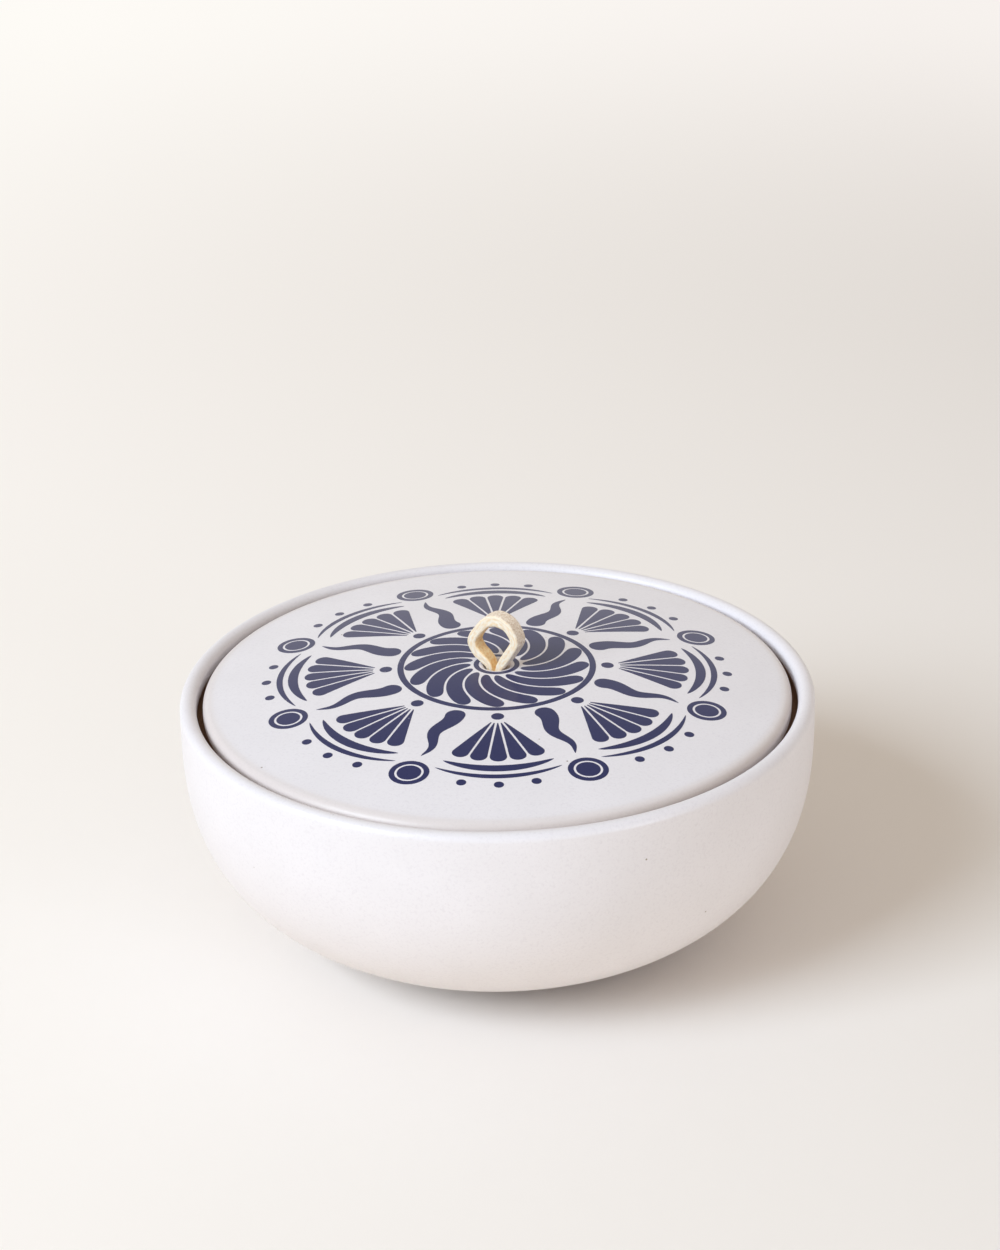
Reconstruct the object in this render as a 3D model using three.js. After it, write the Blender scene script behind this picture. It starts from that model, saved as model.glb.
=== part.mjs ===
// A round stoneware trinket box: a deep bowl, a shallow domed lid that drops inside the rim onto a
// ledge, and a pull made of one leather lace, looped through the lid and knotted underneath.
// Millimetres, +Z up. The origin is the centre of the foot, on the table.
import * as THREE from "three";

// Bowl
const bowlRadius = 76; // outside of the upright wall
const bowlHeight = 62; // table to the top of the lip
const bellyFullness = 2.72; // superellipse exponent of the outside: 2 would be a plain ellipse
const uprightHeight = 3.8; // straight stretch of wall between the belly and the lip
const lipThickness = 4; // the lip is rounded over its whole thickness
const ledgeWidth = 5; // shelf inside the mouth that carries the lid
const ledgeRound = 1; // rounding of the shelf's inner edge and of the corner behind it
const hollowFullness = 2.9; // superellipse exponent of the inside
const floorThickness = 5;
const footRadius = 31;
const footWidth = 4; // width of the ring that stands on the table
const footRecess = 1.6; // depth of the hollow inside that ring

// Lid
const lidClearance = 1.5; // radial gap between the lid and the mouth
const lidSeatGap = 0.1; // glaze-thin gap between the lid and its ledge
const lidEdgeRound = 2.2;
const lidSeatRound = 1;
const lidSeatWidth = 5.5; // ring under the edge that rests on the ledge
const lidThickness = 4.5;
const lidSeatStep = 1.5; // how far the seat ring reaches below the hollow underside
const domeRise = 5.8; // lip to the top of the dome
const holeRound = 1.2; // rounding of the hole's upper edge
const holeChamfer = 0.5; // break of the hole's lower edge

// Lace
const laceWidth = 4;
const laceThickness = 2.3;
const laceCorner = 0.45; // worn corners of the cut strip
const laceGap = 0.3; // between the two legs, and between the knot and the lid
const laceHoleClearance = 0.5;
const loopWidth = 11.9; // across the loop, along the middle of the strip
const loopHeight = 12.4; // lid to the top of the loop, along the middle of the strip
const loopRoot = 1.8; // how deep in the hole the two legs start to part
// The loop seen from the front: shares of its width and height, from the left leg to the right one.
const loopShape = [
  [-0.135, 0.01], [-0.25, 0.12], [-0.38, 0.218], [-0.466, 0.34], [-0.492, 0.42], [-0.455, 0.543],
  [-0.335, 0.71], [-0.15, 0.914], [0.06, 1], [0.25, 0.954], [0.34, 0.897], [0.434, 0.779],
  [0.493, 0.66], [0.5, 0.577], [0.423, 0.434], [0.322, 0.282], [0.215, 0.124], [0.135, 0.005],
];
const loopEase = 5; // length over which the leather spreads to its full size above its root
const knotSqueeze = 0.75; // how far the leather is pressed together in the hole and the knot
const knotEye = 1.7; // radius of the eye that stays open in the middle of the knot
const knotSwing = 0.4; // in and out swing of the knot's three lobes, as a share of their mean radius
const knotExit = 1.2; // where the tails leave the last lobe, against where the legs enter the first
const tailBendRadius = 3.2; // over which the ends turn down out of the knot
const tailForward = 4; // how far the tails lean out in front of the knot
const tailLength = 6; // straight stretch at the end of the tails
const tailSplay = 0.5; // how far each end springs away from the other

// Facets
const turnSteps = 60; // round the bowl and the lid
const curveSteps = 12; // along each belly curve
const roundSteps = 4; // along each small rounding
const laceStep = 1.5; // length of lace between two cross-sections
const knotSteps = 26; // points along the knot's formula
const tailSteps = 6; // points round the bend of the tails

// Sizes that follow
const lidEdgeHeight = lidThickness + lidSeatStep; // seat to the dome's edge, which is flush with the lip
const mouthRadius = bowlRadius - lipThickness;
const ledgeInnerRadius = mouthRadius - ledgeWidth;
const ledgeHeight = bowlHeight - lidEdgeHeight - lidSeatGap;
const lidRadius = mouthRadius - lidClearance;
const legsHalfThickness = knotSqueeze * laceThickness + laceGap / 2;
const holeRadius = Math.hypot(legsHalfThickness, (knotSqueeze * laceWidth) / 2) + laceHoleClearance;

/** Points [radius, height] of an arc, angles in radians from the outward direction, turning upwards. */
function arc([radius, height], size, from, to, steps = roundSteps) {
  return Array.from({ length: steps + 1 }, (_, i) => {
    const angle = THREE.MathUtils.lerp(from, to, i / steps);
    return [radius + size * Math.cos(angle), height + size * Math.sin(angle)];
  });
}

/**
 * Points [radius, height] of a quarter superellipse that leaves the axis level at `bottom` and ends
 * upright at `radius`. Each point lies where a ray at an even angle meets |x|^p + |y|^p = 1.
 */
function bellyCurve(radius, bottom, height, fullness, startRadius = 0) {
  const startShare = startRadius / radius;
  const startRise = (1 - startShare ** fullness) ** (1 / fullness);
  const startAngle = Math.atan2(startRise, startShare);
  return Array.from({ length: curveSteps + 1 }, (_, i) => {
    const angle = startAngle * (1 - i / curveSteps);
    const x = Math.cos(angle);
    const y = Math.sin(angle);
    const reach = (x ** fullness + y ** fullness) ** (-1 / fullness);
    return [radius * reach * x, bottom + height * (1 - reach * y)];
  });
}

/** A solid of revolution about +Z from a counter-clockwise profile of [radius, height] points. */
function turned(name, profile, material) {
  const points = profile.map(([radius, height]) => new THREE.Vector2(Math.max(radius, 0), height));
  const mesh = new THREE.Mesh(new THREE.LatheGeometry(points, turnSteps), material);
  mesh.name = name;
  mesh.rotation.x = Math.PI / 2;
  return mesh;
}

/** The bowl's section: up the outside, over the lip, down to the ledge and along the hollow. */
function bowlProfile() {
  const lipRadius = lipThickness / 2;
  const bellyHeight = bowlHeight - lipRadius - uprightHeight;
  const floorHeight = footRecess + floorThickness;
  const hollowTop = ledgeHeight - ledgeRound;
  const hollow = bellyCurve(ledgeInnerRadius, floorHeight, hollowTop - floorHeight, hollowFullness);
  return [
    [0, footRecess],
    [footRadius - footWidth - footRecess, footRecess],
    [footRadius - footWidth, 0],
    [footRadius, 0],
    ...bellyCurve(bowlRadius, 0, bellyHeight, bellyFullness, footRadius),
    ...arc([bowlRadius - lipRadius, bowlHeight - lipRadius], lipRadius, 0, Math.PI, 2 * roundSteps),
    ...arc([mouthRadius - ledgeRound, ledgeHeight + ledgeRound], ledgeRound, 0, -Math.PI / 2),
    ...arc([ledgeInnerRadius + ledgeRound, hollowTop], ledgeRound, Math.PI / 2, Math.PI),
    ...hollow.reverse().slice(1),
  ];
}

/** Radius of the sphere that the dome is cut from: it drops by the rise at the start of the edge. */
function domeRadius() {
  const halfChord = lidRadius - lidEdgeRound;
  return (halfChord ** 2 + domeRise ** 2) / (2 * domeRise);
}

/** The lid's section, from its seat at height 0: along the underside, up the edge and over the dome. */
function lidProfile() {
  const sphere = domeRadius();
  const apex = lidEdgeHeight + domeRise;
  const centre = apex - sphere;
  const under = (radius) => centre + Math.sqrt((sphere - lidThickness) ** 2 - radius ** 2);
  // A rounding inside the sphere touches it along the ray from the sphere's centre.
  const rounding = (radius, size) => {
    const height = centre + Math.sqrt((sphere - size) ** 2 - radius ** 2);
    return { at: [radius, height], touch: Math.atan2(height - centre, radius) };
  };
  const seatInner = lidRadius - lidSeatRound - lidSeatWidth;
  const hollowRim = seatInner - lidSeatRound;
  const edge = rounding(lidRadius - lidEdgeRound, lidEdgeRound);
  const mouth = rounding(holeRadius + holeRound, holeRound);
  const underStart = holeRadius + holeChamfer;
  const across = (share) => THREE.MathUtils.lerp(underStart, hollowRim - lidSeatRound, share);
  const dome = arc([0, centre], sphere, mouth.touch, edge.touch, curveSteps).reverse();
  const profile = [
    [holeRadius, under(holeRadius) + holeChamfer],
    ...Array.from({ length: roundSteps + 1 }, (_, i) => across(i / roundSteps)).map((r) => [r, under(r)]),
    [hollowRim, under(hollowRim) - lidSeatRound / 2],
    [seatInner, 0],
    ...arc([lidRadius - lidSeatRound, lidSeatRound], lidSeatRound, -Math.PI / 2, 0),
    ...arc(edge.at, lidEdgeRound, 0, edge.touch),
    ...dome.slice(1, -1),
    ...arc(mouth.at, holeRound, mouth.touch, Math.PI),
  ];
  return [...profile, profile[0]];
}

/**
 * Middle line of the doubled lace: straight down the hole, round an overhand knot and out into the
 * tails. The knot is a trefoil with one lobe cut open, x = -S sin a + M sin 2a and
 * z = S cos a + M cos 2a, that weaves to and fro in y by sin 3a. The origin is on the lid's dome.
 */
function knotRoute() {
  const inner = knotEye + legsHalfThickness;
  const mean = inner / (1 - knotSwing);
  const swing = mean * knotSwing;
  const weave = knotSqueeze * laceWidth + 2 * laceGap;
  const trefoil = (a) => new THREE.Vector3(
    mean * Math.sin(2 * a) - swing * Math.sin(a),
    -weave * Math.sin(3 * a),
    mean * Math.cos(2 * a) + swing * Math.cos(a),
  );
  // The strand stands upright where x stops growing: cos 2a = (S / 2M) cos a.
  const share = knotSwing / 2;
  const start = Math.acos((share + Math.sqrt(share ** 2 + 8)) / 4);
  const end = 2 * Math.PI - knotExit * start;
  const standing = trefoil(start);
  const underLid = inner + legsHalfThickness + laceGap;
  const points = [1, 0.5, 0].map(
    (share) => new THREE.Vector3(standing.x, standing.y, underLid + share * (lidThickness - loopRoot)),
  );
  for (let i = 0; i <= knotSteps; i += 1) {
    points.push(trefoil(THREE.MathUtils.lerp(start, end, i / knotSteps)));
  }
  const exit = points.at(-1);
  const heading = exit.clone().sub(points.at(-2));
  const from = Math.atan2(heading.z, heading.x);
  for (let i = 1; i <= tailSteps; i += 1) {
    const angle = THREE.MathUtils.lerp(from, 1.5 * Math.PI, i / tailSteps);
    const across = tailBendRadius * (Math.sin(angle) - Math.sin(from));
    const up = tailBendRadius * (Math.cos(from) - Math.cos(angle));
    const forward = tailForward * (i / tailSteps);
    points.push(new THREE.Vector3(exit.x + across, exit.y + forward, exit.z + up));
  }
  const hang = points.at(-1).clone();
  points.push(hang.clone().setZ(hang.z - tailLength / 2), hang.clone().setZ(hang.z - tailLength));
  const toHole = new THREE.Vector3(-standing.x, -standing.y, -underLid - lidThickness);
  return new THREE.CatmullRomCurve3(points.map((point) => point.add(toHole)), false, "centripetal");
}

/** Direction, width and thickness axes along a path of a strip whose width keeps to the Y axis. */
function stripFrames(path) {
  return path.map((point, i) => {
    const ahead = path[Math.min(i + 1, path.length - 1)];
    const along = ahead.clone().sub(path[Math.max(i - 1, 0)]).normalize();
    const width = new THREE.Vector3(0, 1, 0).addScaledVector(along, -along.y).normalize();
    return { point, width, thickness: width.clone().cross(along) };
  });
}

/** The whole lace in order: one tail, its strand of the knot, a leg, the loop and back again. */
function laceStations() {
  const route = knotRoute();
  const frames = stripFrames(route.getSpacedPoints(Math.round(route.getLength() / laceStep)));
  const total = route.getLength();
  const tailStart = total - tailLength - tailBendRadius;
  const strand = (side) => frames.map(({ point, thickness }, i) => {
    const distance = (total * i) / (frames.length - 1);
    const inTail = THREE.MathUtils.smoothstep(distance, tailStart, total);
    const squeeze = THREE.MathUtils.lerp(knotSqueeze, 1, inTail);
    const apart = (squeeze * laceThickness + laceGap) / 2 + tailSplay * inTail;
    return { at: point.clone().addScaledVector(thickness, side * apart), squeeze };
  });
  const left = strand(1).reverse();
  const right = strand(-1);
  const shape = loopShape.map(([x, z]) => new THREE.Vector3(x * loopWidth, 0, z * loopHeight));
  const ends = [left.at(-1).at, ...shape, right[0].at];
  const loop = new THREE.CatmullRomCurve3(ends, false, "centripetal");
  const loopSteps = Math.round(loop.getLength() / laceStep);
  const over = loop.getSpacedPoints(loopSteps).map((at, i) => {
    const fromRoot = (loop.getLength() * Math.min(i, loopSteps - i)) / loopSteps;
    const inLoop = THREE.MathUtils.smoothstep(fromRoot, 0, loopEase);
    return { at, squeeze: THREE.MathUtils.lerp(knotSqueeze, 1, inLoop) };
  });
  return [...left, ...over.slice(1, -1), ...right];
}

/** The lace as one closed strip: its rounded section carried from station to station. */
function laceGeometry() {
  const stations = laceStations();
  const halfT = laceThickness / 2;
  const halfW = laceWidth / 2;
  const quarter = [[halfT, halfW - laceCorner], [halfT - laceCorner, halfW]];
  const mirrored = (signT, signW) => quarter.map(([t, w]) => [signT * t, signW * w]);
  const section = [
    ...mirrored(1, 1), ...mirrored(-1, 1).reverse(), ...mirrored(-1, -1), ...mirrored(1, -1).reverse(),
  ];
  const positions = stripFrames(stations.map(({ at }) => at)).flatMap(({ point, width, thickness }, i) =>
    section.flatMap(([t, w]) => point.clone()
      .addScaledVector(thickness, t * stations[i].squeeze)
      .addScaledVector(width, w * stations[i].squeeze)
      .toArray()));
  const sides = section.length;
  const last = (stations.length - 1) * sides;
  const triangles = [];
  for (let ring = 0; ring < last; ring += sides) {
    for (let side = 0; side < sides; side += 1) {
      const here = ring + side;
      const next = ring + ((side + 1) % sides);
      triangles.push(here, next, next + sides, here, next + sides, here + sides);
    }
  }
  for (let side = 1; side < sides - 1; side += 1) {
    triangles.push(0, side + 1, side, last, last + side, last + side + 1);
  }
  const geometry = new THREE.BufferGeometry();
  geometry.setAttribute("position", new THREE.Float32BufferAttribute(positions, 3));
  geometry.setIndex(triangles);
  geometry.computeVertexNormals();
  return geometry;
}

const ceramic = new THREE.MeshStandardMaterial({ color: 0xeeedf1, roughness: 0.5, metalness: 0 });
const leather = new THREE.MeshStandardMaterial({ color: 0xdcc49a, roughness: 0.85, metalness: 0 });

const pull = new THREE.Mesh(laceGeometry(), leather);
pull.name = "pull_lace";
pull.position.z = lidEdgeHeight + domeRise;

const liftedParts = new THREE.Group();
liftedParts.position.z = ledgeHeight + lidSeatGap;
liftedParts.add(turned("lid", lidProfile(), ceramic.clone()), pull);

const box = new THREE.Group();
box.add(turned("bowl", bowlProfile(), ceramic), liftedParts);

export default box;
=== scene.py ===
import logging
import math
from dataclasses import dataclass, field
from enum import Enum
from typing import Any

import bpy
import numpy as np
from mathutils import Euler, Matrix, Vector


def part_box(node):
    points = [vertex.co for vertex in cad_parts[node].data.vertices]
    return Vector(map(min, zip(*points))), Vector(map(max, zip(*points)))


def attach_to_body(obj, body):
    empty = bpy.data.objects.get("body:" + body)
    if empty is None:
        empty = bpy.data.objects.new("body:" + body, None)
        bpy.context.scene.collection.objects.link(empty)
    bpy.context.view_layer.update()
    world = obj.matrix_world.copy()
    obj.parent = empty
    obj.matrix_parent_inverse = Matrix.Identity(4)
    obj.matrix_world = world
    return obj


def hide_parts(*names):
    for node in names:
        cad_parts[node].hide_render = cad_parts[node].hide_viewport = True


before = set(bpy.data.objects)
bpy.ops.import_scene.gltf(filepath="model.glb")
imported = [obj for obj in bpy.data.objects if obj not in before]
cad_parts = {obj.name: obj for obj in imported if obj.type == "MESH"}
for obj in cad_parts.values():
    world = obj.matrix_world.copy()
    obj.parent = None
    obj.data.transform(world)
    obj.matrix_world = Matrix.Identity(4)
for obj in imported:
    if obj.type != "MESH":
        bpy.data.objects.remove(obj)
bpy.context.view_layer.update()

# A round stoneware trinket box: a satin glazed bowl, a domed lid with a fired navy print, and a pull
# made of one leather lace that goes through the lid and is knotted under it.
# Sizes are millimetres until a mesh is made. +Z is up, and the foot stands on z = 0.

MM = 0.001
TURN = 2 * math.pi
PHOTO_SIZE = (1000, 1250)
SHARP_ANGLE = math.radians(50)

log = logging.getLogger("trinket_box")


class Body(Enum):
    """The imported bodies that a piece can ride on."""

    BOWL = "bowl"
    LID = "lid"
    PULL = "pull"


class Slot(Enum):
    """The record's material slots."""

    GLAZE = "satin_glaze"
    LEATHER = "natural_leather"


class Mark(Enum):
    """Point attributes that tell a finish where on its piece it is."""

    BARE = "bare_clay"
    # Thin glaze, and along the lid's edge painted shade as well.
    THIN_GLAZE_AND_SHADE = "thin_glaze_and_painted_shade"
    FLESH = "flesh_side"
    EDGE = "cut_edge"


@dataclass
class Surface:
    """A closed surface in millimetres: points, faces, marks on the points and a map along a strip."""

    points: np.ndarray
    quads: np.ndarray
    triangles: np.ndarray = field(default_factory=lambda: np.empty((0, 3), int))
    marks: dict[Mark, np.ndarray] = field(default_factory=dict)
    strip_map: np.ndarray | None = None

    def place(self, name: str, finish: bpy.types.Material) -> bpy.types.Object:
        """Puts the surface into the scene, in metres.

        Args:
            name: the piece's name.
            finish: the material of the whole piece.

        Returns:
            The new object, at the origin and shaded smooth.
        """
        mesh = bpy.data.meshes.new(name)
        mesh.from_pydata((self.points * MM).tolist(), [], [*self.quads.tolist(), *self.triangles.tolist()])
        for mark, values in self.marks.items():
            layer = mesh.attributes.new(mark.value, "FLOAT", "POINT")
            layer.data.foreach_set("value", values.astype(np.float32))
        if self.strip_map is not None:
            corners = np.empty(len(mesh.loops), np.int32)
            mesh.loops.foreach_get("vertex_index", corners)
            layer = mesh.uv_layers.new(name="strip")
            layer.data.foreach_set("uv", (self.strip_map[corners] * MM).astype(np.float32).ravel())
        mesh.shade_smooth()
        mesh.set_sharp_from_angle(angle=SHARP_ANGLE)
        mesh.materials.append(finish)
        piece = bpy.data.objects.new(name, mesh)
        bpy.context.scene.collection.objects.link(piece)
        return piece


def join(parts: list[Surface]) -> Surface:
    """Puts several surfaces together.

    Args:
        parts: surfaces without marks or maps.

    Returns:
        One surface that holds them all, each still closed by itself.
    """
    starts = np.cumsum([0, *(len(part.points) for part in parts[:-1])])
    return Surface(
        np.vstack([part.points for part in parts]),
        np.vstack([part.quads + start for part, start in zip(parts, starts)]),
        np.vstack([part.triangles + start for part, start in zip(parts, starts)]),
    )


def attach(piece: bpy.types.Object, body: Body, node: str | None = None) -> None:
    """Makes a piece ride on a body.

    Args:
        piece: the object.
        body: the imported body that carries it.
        node: the CAD node that it stands for, which is then hidden.
    """
    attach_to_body(piece, body.value)
    if node:
        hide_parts(node)
    log.info("%s: %d faces on body %s", piece.name, len(piece.data.polygons), body.value)


def grid_faces(rows: int, columns: int, wrap_rows: bool = False) -> np.ndarray:
    """Quads between neighbours of a grid stored row by row, whose rows are closed rings.

    Args:
        rows: number of rings.
        columns: number of points in a ring.
        wrap_rows: whether the last ring joins the first.

    Returns:
        Four point numbers for each quad.
    """
    row, column = np.meshgrid(np.arange(rows if wrap_rows else rows - 1), np.arange(columns), indexing="ij")
    here, ahead = row * columns, (row + 1) % rows * columns
    beside = (column + 1) % columns
    return np.stack([here + column, here + beside, ahead + beside, ahead + column], -1).reshape(-1, 4)


def fan_faces(centre: int, ring: np.ndarray) -> np.ndarray:
    """Triangles from one point to a closed ring of points, facing the side that sees the ring turn left."""
    return np.stack([np.full(len(ring), centre), ring, np.roll(ring, -1)], -1)


def loft(rings: np.ndarray, closed: bool = False) -> Surface:
    """Rings of points joined one to the next, each turning left about the way ahead.

    Args:
        rings: points as (ring, place in the ring, xyz).
        closed: whether the last ring joins the first; otherwise a fan closes each end.

    Returns:
        The closed surface, with the two end centres as its last points.
    """
    count, sides = rings.shape[:2]
    points = rings.reshape(-1, 3)
    quads = grid_faces(count, sides, wrap_rows=closed)
    if closed:
        return Surface(points, quads)
    ends = rings[[0, -1]].mean(1)
    ring = np.arange(sides)
    first = fan_faces(len(points), ring[::-1])
    last = fan_faces(len(points) + 1, ring + (count - 1) * sides)
    return Surface(np.vstack([points, ends]), quads, np.vstack([first, last]))


def revolve(profile: np.ndarray, turns: int) -> Surface:
    """A profile [radius, height] carried round the Z axis: x = r cos a, y = r sin a, z = height.

    Args:
        profile: counter-clockwise points. Ends on the axis become poles, and otherwise the last point
            joins the first.
        turns: number of steps round the axis.

    Returns:
        The closed surface, ring by ring.
    """
    angle = np.linspace(0, TURN, turns, endpoint=False)
    radius, height = profile[:, :1], profile[:, 1:]
    rings = np.stack([radius * np.cos(angle), radius * np.sin(angle), height + 0 * angle], -1)
    on_axis = np.allclose(profile[[0, -1], 0], 0)
    return loft(rings[1:-1]) if on_axis else loft(rings, closed=True)


def arc(centre: tuple[float, float], size: float, start: float, end: float, steps: int) -> np.ndarray:
    """Points [radius, height] at even angles of a circle, from one angle to another, in radians."""
    angle = np.linspace(start, end, steps + 1)
    return np.array(centre) + size * np.stack([np.cos(angle), np.sin(angle)], -1)


def wall(radius: float, start: float, end: float, steps: int) -> np.ndarray:
    """Points [radius, height] inside an upright stretch, evenly between its two ends."""
    height = np.linspace(start, end, steps + 2)[1:-1]
    return np.stack([0 * height + radius, height], -1)


def belly(
    radius: float, bottom: float, height: float, fullness: float, steps: int, inner: float = 0.0
) -> np.ndarray:
    """Quarter superellipse |x|^p + |y|^p = 1, stretched to a radius and a height.

    Args:
        radius: where the curve ends upright.
        bottom: height at which it would leave the axis, level.
        height: from the bottom to the upright end.
        fullness: the exponent p.
        steps: number of stretches, at even angles seen from the centre.
        inner: radius at which the curve starts.

    Returns:
        Points [radius, height] from the inner end to the upright end.
    """
    share = inner / radius
    first = math.atan2((1 - share**fullness) ** (1 / fullness), share)
    angle = np.linspace(first, 0, steps + 1)
    reach = (np.cos(angle) ** fullness + np.sin(angle) ** fullness) ** (-1 / fullness)
    return np.stack([radius * reach * np.cos(angle), bottom + height * (1 - reach * np.sin(angle))], -1)


def soften(corners: np.ndarray, size: float, steps: int) -> np.ndarray:
    """Rounds the inner corners of a line with quadratic curves: (1-t)^2 leave + 2t(1-t) corner + t^2 arrive.

    Args:
        corners: points of the line.
        size: distance from a corner at which its curve leaves the two sides.
        steps: number of stretches in a curve.

    Returns:
        The line from its first point to its last.
    """
    before = corners[:-2] - corners[1:-1]
    after = corners[2:] - corners[1:-1]
    leave = corners[1:-1] + before * size / np.linalg.norm(before, axis=1, keepdims=True)
    arrive = corners[1:-1] + after * size / np.linalg.norm(after, axis=1, keepdims=True)
    t = np.linspace(0, 1, steps + 1)[None, :, None]
    bends = (1 - t) ** 2 * leave[:, None] + 2 * t * (1 - t) * corners[1:-1, None] + t**2 * arrive[:, None]
    return np.vstack([corners[:1], bends.reshape(-1, 2), corners[-1:]])


def smooth_step(value: np.ndarray, low: float, high: float) -> np.ndarray:
    """3t^2 - 2t^3 of the share t that a value has reached between two bounds."""
    t = np.clip((value - low) / (high - low), 0, 1)
    return t * t * (3 - 2 * t)


def wavering(points: np.ndarray, size: float) -> np.ndarray:
    """How far an edge wiped by hand strays: sines with three and with eight swings in a turn."""
    angle = np.arctan2(points[:, 1], points[:, 0])
    return size * (0.6 * np.sin(3 * angle + 0.5) + 0.4 * np.sin(8 * angle))


def catmull_rom(points: np.ndarray, per_span: int = 24) -> np.ndarray:
    """Centripetal Catmull-Rom curve: a cubic between neighbours, timed by the root of their distance.

    Args:
        points: the points that it passes through.
        per_span: number of points that each stretch between two of them gets.

    Returns:
        Points along the curve, from the first given point to the last.
    """
    ends = 2 * points[[0, -1]] - points[[1, -2]]
    p = np.vstack([ends[:1], points, ends[1:]])
    time = np.sqrt(np.linalg.norm(np.diff(p, axis=0), axis=1))[:, None]
    d0, d1, d2 = time[:-2], time[1:-1], time[2:]
    p0, p1, p2, p3 = p[:-3], p[1:-2], p[2:-1], p[3:]
    leave = d1 * ((p1 - p0) / d0 - (p2 - p0) / (d0 + d1) + (p2 - p1) / d1)
    arrive = d1 * ((p2 - p1) / d1 - (p3 - p1) / (d1 + d2) + (p3 - p2) / d2)
    t = np.linspace(0, 1, per_span, endpoint=False)[None, :, None]
    square = 3 * p2 - 3 * p1 - 2 * leave - arrive
    cubic = 2 * p1 - 2 * p2 + leave + arrive
    curve = p1[:, None] + leave[:, None] * t + square[:, None] * t**2 + cubic[:, None] * t**3
    return np.vstack([curve.reshape(-1, points.shape[1]), points[-1:]])


def towards(azimuth: float, elevation: float) -> Vector:
    """Unit vector at an azimuth from -Y round to +X and an elevation from level, in degrees."""
    a, e = math.radians(azimuth), math.radians(elevation)
    return Vector((math.sin(a) * math.cos(e), -math.cos(a) * math.cos(e), math.sin(e)))


def lengths(path: np.ndarray) -> np.ndarray:
    """Distance along a path from its start to each of its points."""
    return np.concatenate([[0], np.cumsum(np.linalg.norm(np.diff(path, axis=0), axis=1))])


def even_steps(path: np.ndarray, step: float) -> np.ndarray:
    """Spaces the points of a path evenly.

    Args:
        path: the points as they are.
        step: the distance wanted between neighbours, met to the nearest whole count.

    Returns:
        Points on the same path, from its start to its end.
    """
    along = lengths(path)
    at = np.linspace(0, along[-1], round(along[-1] / step) + 1)
    return np.stack([np.interp(at, along, path[:, axis]) for axis in range(path.shape[1])], -1)


def linear(hex_colour: str) -> tuple[float, float, float, float]:
    """Turns an sRGB colour to linear light.

    Args:
        hex_colour: the colour, such as "#eeedf1".

    Returns:
        Linear red, green and blue with a full alpha.
    """
    srgb = np.array([int(hex_colour[i : i + 2], 16) for i in (1, 3, 5)]) / 255
    value = np.where(srgb <= 0.04045, srgb / 12.92, ((srgb + 0.055) / 1.055) ** 2.4)
    return (*value.tolist(), 1.0)


def add_node(
    tree: bpy.types.NodeTree, kind: str, inputs: dict[str, Any] | None = None, **settings: Any
) -> dict[str, bpy.types.NodeSocket]:
    """Adds a shader node.

    Args:
        tree: the node tree.
        kind: the node's type, without its "ShaderNode" prefix.
        inputs: values by the sockets' identifiers; an output socket is linked instead.
        settings: values for the node's own properties.

    Returns:
        The node's output sockets by their identifiers.
    """
    node = tree.nodes.new("ShaderNode" + kind)
    for name, value in settings.items():
        setattr(node, name, value)
    sockets = {socket.identifier: socket for socket in node.inputs}
    for name, value in (inputs or {}).items():
        if isinstance(value, bpy.types.NodeSocket):
            tree.links.new(value, sockets[name])
        else:
            sockets[name].default_value = value
    return {socket.identifier: socket for socket in node.outputs}


def new_tree(owner: bpy.types.Material | bpy.types.World) -> bpy.types.NodeTree:
    """Gives a material or a world an empty node tree.

    Args:
        owner: the material or the world.

    Returns:
        The tree.
    """
    owner.use_nodes = True
    owner.node_tree.nodes.clear()
    return owner.node_tree


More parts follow.
